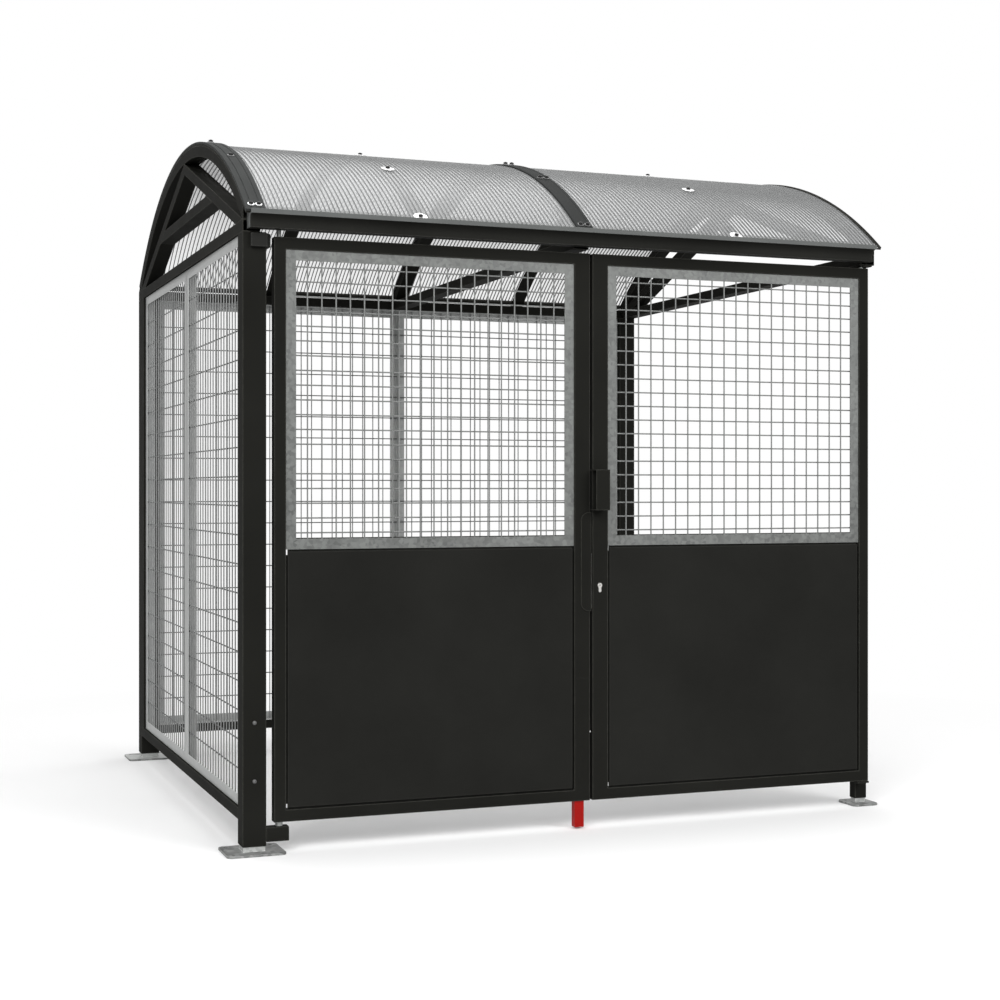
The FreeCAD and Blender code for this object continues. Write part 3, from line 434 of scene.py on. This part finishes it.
# A solid's own shape with its real rounded or broken edges
def dressed(node, mats, slot, width, segments, choose=None):
    source = frame["nodes"][node]
    bm = bmesh.new()
    bm.from_mesh(source.data)
    bmesh.ops.transform(bm, matrix=source.matrix_world, verts=bm.verts)
    bmesh.ops.remove_doubles(bm, verts=bm.verts, dist=SAME_PLACE)
    bmesh.ops.dissolve_limit(bm, angle_limit=FLAT, verts=bm.verts, edges=bm.edges)
    edges = [e for e in bm.edges if len(e.link_faces) == 2 and e.calc_face_angle(0.0) > CORNER]
    bmesh.ops.bevel(bm, geom=edges, offset=width, offset_type="OFFSET", segments=segments, profile=0.5,
                    affect="EDGES", clamp_overlap=True)
    if choose:
        for face in bm.faces:
            face.material_index = choose(face.calc_center_median())
    add_piece(node + "_dressed", bm, mats, body_of[node], [node], slot, SHARP_ROUNDED)


def ring(bm, centre, axis, radius, sides):
    side = axis.orthogonal().normalized()
    other = axis.cross(side)
    verts = []
    for k in range(sides):
        turn = 2 * math.pi * k / sides
        place = centre + side * (radius * math.cos(turn)) + other * (radius * math.sin(turn))
        verts.append(bm.verts.new(place))
    return verts


# Turned piece: rings of the given (distance along the axis, radius), capped at both ends
def turned(bm, base, axis, steps, sides, mat_index=0):
    rings = [ring(bm, base + axis * along, axis, radius, sides) for along, radius in steps]
    faces = [bm.faces.new(rings[0][::-1]), bm.faces.new(rings[-1])]
    for low, high in zip(rings, rings[1:]):
        for k in range(sides):
            nxt = (k + 1) % sides
            faces.append(bm.faces.new((low[k], low[nxt], high[nxt], high[k])))
    for face in faces:
        face.material_index = mat_index


# Mesh walls and windows

# The chamfer is a share of a wire's radius
WALL_PANELS = 2
WIRE_SIDES = 10
WIRE_CHAMFER = 0.35
UPRIGHT_MAT = 0
ROW_MAT = 1


# Wires of one panel in its own plane, as (along, inward, up) of both ends
def panel_wires(width, height, leg, size, pitch, row_pitch):
    columns = int((width - 2 * leg + pitch / 4) / pitch)
    rows = int((height - 2 * leg + row_pitch / 4) / row_pitch)
    half = width / 2
    wires = []
    for k in range(columns):
        u = (k - (columns - 1) / 2) * pitch
        depth = ANGLE_T + size / 2
        wires.append(((u, depth, ANGLE_T), (u, depth, height - ANGLE_T)))
    for k in range(rows):
        v = height / 2 + (k - (rows - 1) / 2) * row_pitch
        depth = ANGLE_T + size * 1.5
        wires.append(((-half + ANGLE_T, depth, v), (half - ANGLE_T, depth, v)))
    return wires


# Round wires with chamfered ends
def wire_mesh(name, node, wires, size, mats, slot):
    bm = bmesh.new()
    radius = size / 2
    chamfer = radius * WIRE_CHAMFER
    for start, end in wires:
        axis = (end - start).normalized()
        length = (end - start).length
        # Rows get the darker zinc, a painted shade
        mat_index = UPRIGHT_MAT if abs(axis.z) > 0.5 else ROW_MAT
        steps = [(0.0, radius - chamfer), (chamfer, radius), (length - chamfer, radius),
                 (length, radius - chamfer)]
        turned(bm, start, axis, steps, WIRE_SIDES, mat_index)
    add_piece(name, bm, mats, body_of[node], [node], slot, SHARP_WIRE)


def window_mesh(side):
    low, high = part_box(side + "_window_frame")
    origin = Vector(((low.x + high.x) / 2, low.y, low.z))
    wires = panel_wires(high.x - low.x, high.z - low.z, WINDOW_LEG, WINDOW_WIRE, WINDOW_PITCH, WINDOW_PITCH)
    places = [(origin + Vector(a), origin + Vector(b)) for a, b in wires]
    wire_mesh(side + "_window_wires", side + "_window_mesh", places, WINDOW_WIRE, [DOOR_WIRE, DOOR_WIRE],
              "galvanised_doors")


# Wires of a wall of equal panels; set_in places (along, inward, up) of the panel whose middle is mid
def wall_mesh(name, node, start, length, height, set_in):
    width = length / WALL_PANELS
    places = []
    for k in range(WALL_PANELS):
        mid = start + width * (k + 0.5)
        for wire in panel_wires(width, height, WALL_LEG, WALL_WIRE, WALL_PITCH, WALL_ROW_PITCH):
            places.append([set_in(mid, *end) for end in wire])
    wire_mesh(name, node, places, WALL_WIRE, [WALL_WIRES, WALL_ROWS_SHADED], "galvanised_walls")


def side_wall_mesh():
    low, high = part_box("side_wall_frames")

    def set_in(mid, along, inward, up):
        return Vector((low.x + inward, mid + along, low.z + up))

    wall_mesh("side_wall_wires", "side_wall_mesh", low.y, high.y - low.y, high.z - low.z, set_in)


def back_wall_mesh():
    low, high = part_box("back_wall_frames")

    def set_in(mid, along, inward, up):
        return Vector((mid + along, high.y - inward, low.z + up))

    wall_mesh("back_wall_wires", "back_wall_mesh", low.x, high.x - low.x, high.z - low.z, set_in)


window_mesh("left")
window_mesh("right")
side_wall_mesh()
back_wall_mesh()


# Roof

sheet_low, sheet_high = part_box("roof_sheet_left")
roof_mid_y = (sheet_low.y + sheet_high.y) / 2
sheet_span = (sheet_high.y - sheet_low.y) / 2
roof_radius = (sheet_span ** 2 + ROOF_RISE ** 2) / (2 * ROOF_RISE)
roof_centre_z = sheet_high.z - roof_radius
sheet_angle = math.asin(sheet_span / roof_radius)
SHEET_STEPS = 56
STRIP_STEPS = 64


def roof_point(x, radius, angle):
    return Vector((x, roof_mid_y + radius * math.sin(angle), roof_centre_z + radius * math.cos(angle)))


# Closed section of (x, radius) points swept along the roof's curve; mat_of picks each side's material
def swept(bm, section, angle, steps, mat_of=lambda side: 0, end_mat=0):
    rows = []
    for step in range(steps + 1):
        turn = angle * (2 * step / steps - 1)
        rows.append([bm.verts.new(roof_point(x, r, turn)) for x, r in section])
    count = len(section)
    for low, high in zip(rows, rows[1:]):
        for k in range(count):
            nxt = (k + 1) % count
            bm.faces.new((low[k], low[nxt], high[nxt], high[k])).material_index = mat_of(k)
    for row in (rows[0][::-1], rows[-1]):
        bm.faces.new(row).material_index = end_mat


# Materials of a twin-wall sheet, and each one's place in the list
SHEET_MATS = [SKIN, WEB, HAZE, PAINT]
OUTER_MAT = 0
WEB_MAT = 1
INNER_MAT = 2
CLOSED_MAT = 3

# Points of the ripple in each flute, and the webs' share of the sheet's length
RIPPLE_STEPS = 4
WEB_LENGTH = 0.999


# Outer skin with a ripple at every flute, plain inner skin, dark closed edges
def sheet_skins(bm, x0, pitch, flutes, underside):
    top = []
    for k in range(flutes * RIPPLE_STEPS + 1):
        wave = 1 + math.cos(2 * math.pi * k / RIPPLE_STEPS)
        top.append((x0 + pitch * k / RIPPLE_STEPS, roof_radius - RIPPLE * wave))
    low = [(x0 + pitch * k, underside) for k in range(flutes, -1, -1)]
    right_end = flutes * RIPPLE_STEPS
    left_end = right_end + flutes + 1

    def sheet_mat(side):
        if side in (right_end, left_end):
            return CLOSED_MAT
        return INNER_MAT if side > right_end else OUTER_MAT

    swept(bm, top + low, sheet_angle, SHEET_STEPS, sheet_mat, CLOSED_MAT)


# A web between the skins at every flute, on a filleted foot
def sheet_webs(bm, x0, pitch, flutes, underside):
    inner = underside - WEB_CLEAR
    outer = roof_radius - 2 * RIPPLE - WEB_CLEAR
    half = WEB_T / 2
    foot = WEB_FOOT / 2
    for k in range(1, flutes):
        x = x0 + pitch * k
        web = [(x - half, outer), (x + half, outer), (x + half, inner + WEB_FILLET), (x + foot, inner),
               (x - foot, inner), (x - half, inner + WEB_FILLET)]
        swept(bm, web, sheet_angle * WEB_LENGTH, SHEET_STEPS, lambda side: WEB_MAT, WEB_MAT)


# Closing lip along the back eaves
def sheet_lip(bm, x0, x1):
    corners = [bm.verts.new(roof_point(x, r, turn)) for x in (x0, x1)
               for r in (roof_radius, roof_radius - SHEET_T - LIP_DROP)
               for turn in (sheet_angle, sheet_angle - LIP_RUN / roof_radius)]
    for face in bmesh.ops.convex_hull(bm, input=corners)["geom"]:
        if isinstance(face, bmesh.types.BMFace):
            face.material_index = CLOSED_MAT


def twin_wall(node):
    x0, x1 = (corner.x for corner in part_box(node))
    flutes = round((x1 - x0) / FLUTE_PITCH)
    pitch = (x1 - x0) / flutes
    underside = roof_radius - SHEET_T + SKIN_LIFT
    bm = bmesh.new()
    sheet_skins(bm, x0, pitch, flutes, underside)
    sheet_webs(bm, x0, pitch, flutes, underside)
    sheet_lip(bm, x0, x1)
    add_piece(node + "_twin_wall", bm, SHEET_MATS, "shelter", [node], "clear_sheet", SHARP_ROUNDED)


# Strip over the sheets: outline as (share of the width, share of the thickness)
def strip(name, node, outline, thickness, mat, slot):
    x0, x1 = (corner.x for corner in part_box(node))
    section = [(x0 + (x1 - x0) * u, roof_radius + thickness * h) for u, h in outline]
    bm = bmesh.new()
    swept(bm, section, sheet_angle, STRIP_STEPS)
    add_piece(name, bm, [mat], "shelter", [node], slot, SHARP_THIN)


FACE = 0.95
GROOVE = 0.62
BEAD = 0.98
TRAY = 0.72
GROOVED = [(0, 0), (0, 0.8), (0.02, FACE), (0.22, FACE), (0.25, GROOVE), (0.3, GROOVE), (0.33, FACE),
           (0.66, FACE), (0.69, GROOVE), (0.74, GROOVE), (0.77, FACE), (0.94, FACE), (0.985, 0.75),
           (1, 0.5), (1, 0)]
FOLDED = [(0, 0), (0, 0.5), (0.03, 0.85), (0.09, BEAD), (0.19, BEAD), (0.21, TRAY), (0.79, TRAY),
          (0.81, BEAD), (0.91, BEAD), (0.97, 0.85), (1, 0.5), (1, 0)]
HEMMED = [(0, 0), (0, 0.6), (0.1, 0.9), (0.85, 0.98), (1, 0.75), (1, 0)]

twin_wall("roof_sheet_left")
twin_wall("roof_sheet_right")
strip("edge_profile_grooved", "edge_profile", GROOVED, EDGE_PROFILE_T, PROFILE, "grey_profile")
strip("cover_strip_folded", "cover_strip", FOLDED, COVER_STRIP_T, COVER, "dark_paint")
strip("end_trim_hemmed", "end_trim", HEMMED, END_TRIM_T, PAINT, "dark_paint")


# Bolts and washers

# Outlines of a bolt's hexagon and stud as (distance along the axis, radius), and where the stud starts
HEXAGON = [(0.0, 0.0078), (0.0004, 0.0082), (0.0046, 0.0082), (0.0052, 0.0076)]
STUD = [(0.0, 0.0042), (0.0013, 0.0042), (0.0018, 0.0036)]
STUD_BASE = 0.0051

# Outline of a dished washer as (distance along the axis, share of its radius, metres less)
DISH = [(0.0, 1.0, 0.0008), (0.0006, 1.0, 0.0), (0.0016, 1.0, 0.0004), (0.0029, 0.66, 0.0)]

# Outline of a button head with its recess as (distance along the axis, share of its radius)
DOME = [(0.0, 1.0), (0.0012, 1.0), (0.003, 0.9), (0.0046, 0.68), (0.0056, 0.42), (0.0056, 0.35),
        (0.0032, 0.33)]

HEXAGON_SIDES = 6
STUD_SIDES = 14
DISH_SIDES = 32
DOME_SIDES = 24
BRIGHT_MAT = 0
DULL_MAT = 1

# Side on which each post carries its bolts: -1 is the front, 1 the back
BOLTED_SIDES = [("post_front_left", -1), ("post_back_left", 1), ("post_back_right", 1),
                ("post_front_right", 1)]


# Roof fixing: a dished washer, and a hexagon bolt with a stud end
def roof_fixing(washers, bolts, x, y, radius, width, mat_index):
    angle = math.asin((y - roof_mid_y) / radius)
    base = roof_point(x, radius, angle)
    out = Vector((0.0, math.sin(angle), math.cos(angle)))
    dish = [(along, width / 2 * share - less) for along, share, less in DISH]
    turned(washers, base, out, dish, DISH_SIDES, mat_index)
    seat = base + out * WASHER_T
    turned(bolts, seat, out, HEXAGON, HEXAGON_SIDES)
    turned(bolts, seat + out * STUD_BASE, out, STUD, STUD_SIDES)


# Each row has one fixing per bay, two on the cover strip, and on the edge two at the eaves or one above
def roof_fixings():
    front_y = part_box("post_front_left")[0].y
    left_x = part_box("roof_sheet_left")[0].x
    right_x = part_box("roof_sheet_right")[1].x
    mid_x = (left_x + right_x) / 2
    edge_x = sum(corner.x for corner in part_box("edge_profile")) / 2
    on_edge = roof_radius + EDGE_PROFILE_T
    on_cover = roof_radius + COVER_STRIP_T
    washers = bmesh.new()
    bolts = bmesh.new()
    for row, reach in enumerate(BOLT_ROWS):
        at_eaves = row == 0
        for y in (front_y + reach, 2 * roof_mid_y - front_y - reach):
            for x in ((left_x + mid_x) / 2, (mid_x + right_x) / 2):
                roof_fixing(washers, bolts, x, y, roof_radius, BAY_WASHER, BRIGHT_MAT)
            for side in (-BOLT_PAIR / 2, BOLT_PAIR / 2):
                roof_fixing(washers, bolts, mid_x + side, y, on_cover, PAIR_WASHER, DULL_MAT)
                if at_eaves:
                    roof_fixing(washers, bolts, edge_x + side, y, on_edge, PAIR_WASHER, BRIGHT_MAT)
            if not at_eaves:
                roof_fixing(washers, bolts, edge_x, y, on_edge, SMALL_WASHER, DULL_MAT)
    add_piece("roof_washers_dished", washers, [BRIGHT, DULL_BOLT], "shelter", ["roof_washers"],
              "bright_fasteners", SHARP_THIN)
    add_piece("roof_bolts_hexagon", bolts, [BLACK_ZINC], "shelter", ["roof_bolts"], "dark_fasteners",
              SHARP_HEXAGON)


# Button-head bolts of the posts, each with a recess for the key
def post_bolts():
    bm = bmesh.new()
    dome = [(along, POST_BOLT_HEAD / 2 * share) for along, share in DOME]
    for node, facing in BOLTED_SIDES:
        low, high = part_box(node)
        face_y = low.y if facing < 0 else high.y
        for z in POST_BOLT_ROWS:
            base = Vector(((low.x + high.x) / 2, face_y, z))
            turned(bm, base, Vector((0.0, facing, 0.0)), dome, DOME_SIDES)
    add_piece("post_bolts_button", bm, [DULL_BOLT], "shelter", ["post_bolts"], "bright_fasteners")


roof_fixings()
post_bolts()


# Other pieces: the solids with their edges broken, and their finish

# Second of two materials on the left of the shelter
def left_of_middle(place):
    return 1 if place.x < 0 else 0


# Second of two materials above a foot's plate: the stub's lighter zinc, a painted light
def above_plate(place):
    return 1 if place.z > FOOT_PLATE_T else 0


POSTS = ["post_front_left", "post_back_left", "post_back_right", "post_front_right"]
BEAMS = ["chord_left", "chord_right", "tie_centre", "rail_back_top", "rail_back_low", "rail_left_low",
         "closing_stile", "rafters_left", "rafters_right", "collar_left"]
ARCHES_AND_LEAVES = ["arch_left", "arch_centre", "arch_right", "bay_ribs", "left_leaf_frame",
                     "right_leaf_frame"]
BRACKETS = ["low_bracket_left", "low_bracket_right", "top_arm_left", "top_plate_right"]
LOCK = ["lock_case", "lock_forend", "dead_bolt", "strike_plate", "lock_cylinder", "lock_plug"]

# Each row: material, slot, width in metres and segments of the broken edges, nodes
DRESS = [
    (PAINT, "dark_paint", 0.004, 3, POSTS),
    (PAINT, "dark_paint", 0.003, 2, BEAMS),
    (PAINT, "dark_paint", 0.0022, 2, ARCHES_AND_LEAVES),
    (PAINT, "dark_paint", 0.002, 2, BRACKETS),
    (PAINT, "dark_paint", 0.0012, 2, ["pull_handle", "guard_plate"]),
    (CHANNEL, "dark_paint", 0.0012, 2, ["eaves_channel"]),
    (PANEL, "dark_panel", 0.0009, 2, ["left_panel", "right_panel"]),
    (MATT, "bumper", 0.003, 3, ["post_bumper"]),
    (TRIM, "grey_profile", 0.0009, 2, ["eaves_trim"]),
    (PIN_ZINC, "galvanised_feet", 0.0012, 2, ["low_pins", "top_pins"]),
    (WALL_ZINC, "galvanised_walls", 0.0012, 2, ["side_wall_frames", "back_wall_frames"]),
    (DOOR_ZINC, "galvanised_doors", 0.0012, 2, ["left_window_frame", "right_window_frame"]),
    (RED, "red_bolt", 0.0016, 2, ["drop_bolt"]),
    (BRIGHT, "bright_fasteners", 0.0008, 2, ["drop_bolt_pin"]),
    (NICKEL, "lock_steel", 0.0005, 2, LOCK),
]
CAP_EDGE = 0.0008
FOOT_EDGE = 0.0014
EDGE_SEGMENTS = 2

for mat, slot, width, segments, nodes in DRESS:
    for node in nodes:
        dressed(node, [mat], slot, width, segments)
dressed("channel_end_caps", [PAINT, TRIM], "dark_paint", CAP_EDGE, EDGE_SEGMENTS, left_of_middle)
# The stubs above the plates take the lighter zinc copy, a painted light
for node in ("wide_feet", "slim_foot"):
    dressed(node, [FEET, STUB_ZINC_LIT], "galvanised_feet", FOOT_EDGE, EDGE_SEGMENTS, above_plate)


# Floor, light and camera

AMBIENT = 0.55
WHITE = (1.0, 1.0, 1.0, 1.0)
FLOOR_GREY = (0.93, 0.93, 0.93, 1.0)
FLOOR_REACH = 30.0
SHADOW_REACH = 1.6
WHITE_REACH = 4.0

# Each light: name, place, point that it faces, size, power in watts
LIGHTS = [
    ("key", (-4.0, -6.0, 5.2), (0.0, 0.0, 1.1), (4.0, 4.0), 340.0),
    ("front", (3.2, -7.0, 4.2), (0.0, -1.0, 1.1), (4.0, 3.0), 240.0),
    ("top", (0.0, 0.6, 6.2), (0.0, 0.0, 1.0), (5.0, 5.0), 220.0),
]


# Strength 1 as the camera, a reflection or glass sees the background, and less as a light
def backdrop_strength(tree):
    path = tree.nodes.new("ShaderNodeLightPath")
    seen = path.outputs["Is Camera Ray"]
    for ray in ("Is Glossy Ray", "Is Transmission Ray"):
        seen = math_node(tree, "MAXIMUM", seen, path.outputs[ray])
    return mapped(tree, seen, AMBIENT, 1.0)


def add_sky():
    world = bpy.data.worlds.new("studio")
    scene.world = world
    world.use_nodes = True
    sky = world.node_tree.nodes["Background"]
    sky.inputs["Color"].default_value = WHITE
    world.node_tree.links.new(backdrop_strength(world.node_tree), sky.inputs["Strength"])


# Pale floor that takes the shadow near the shelter and fades to white further out
def floor_material():
    mat, tree, surface = clean_material("pale_floor")
    mix = tree.nodes.new("ShaderNodeMixShader")
    near = tree.nodes.new("ShaderNodeBsdfDiffuse")
    near.inputs["Color"].default_value = FLOOR_GREY
    far = tree.nodes.new("ShaderNodeEmission")
    far.inputs["Color"].default_value = WHITE
    reach = tree.nodes.new("ShaderNodeVectorMath")
    reach.operation = "LENGTH"
    tree.links.new(coords(tree), reach.inputs[0])
    fade = mapped(tree, reach.outputs["Value"], 0.0, 1.0, SHADOW_REACH, WHITE_REACH)
    tree.links.new(fade, mix.inputs["Fac"])
    tree.links.new(backdrop_strength(tree), far.inputs["Strength"])
    tree.links.new(near.outputs["BSDF"], mix.inputs[1])
    tree.links.new(far.outputs["Emission"], mix.inputs[2])
    tree.links.new(mix.outputs["Shader"], surface)
    return mat


def add_floor():
    bm = bmesh.new()
    bmesh.ops.create_grid(bm, x_segments=1, y_segments=1, size=FLOOR_REACH)
    obj = add_object("floor", finished_mesh("floor", bm, [floor_material()]))


def area_light(name, place, target, size, power):
    data = bpy.data.lights.new(name, "AREA")
    data.shape = "RECTANGLE"
    data.size, data.size_y = size
    data.energy = power
    obj = add_object(name, data)
    obj.location = place
    obj.rotation_euler = (Vector(target) - Vector(place)).to_track_quat("-Z", "Y").to_euler()


def add_camera():
    data = bpy.data.cameras.new("camera")
    data.sensor_width = CAMERA_SENSOR
    data.lens = CAMERA_LENS
    data.shift_x, data.shift_y = CAMERA_SHIFT
    obj = add_object("camera", data)
    obj.location = CAMERA_PLACE
    obj.rotation_euler = (CAMERA_TILT, 0.0, CAMERA_TURN)
    scene.camera = obj


add_sky()
add_floor()
for light in LIGHTS:
    area_light(*light)
add_camera()
scene.view_settings.view_transform = "Standard"
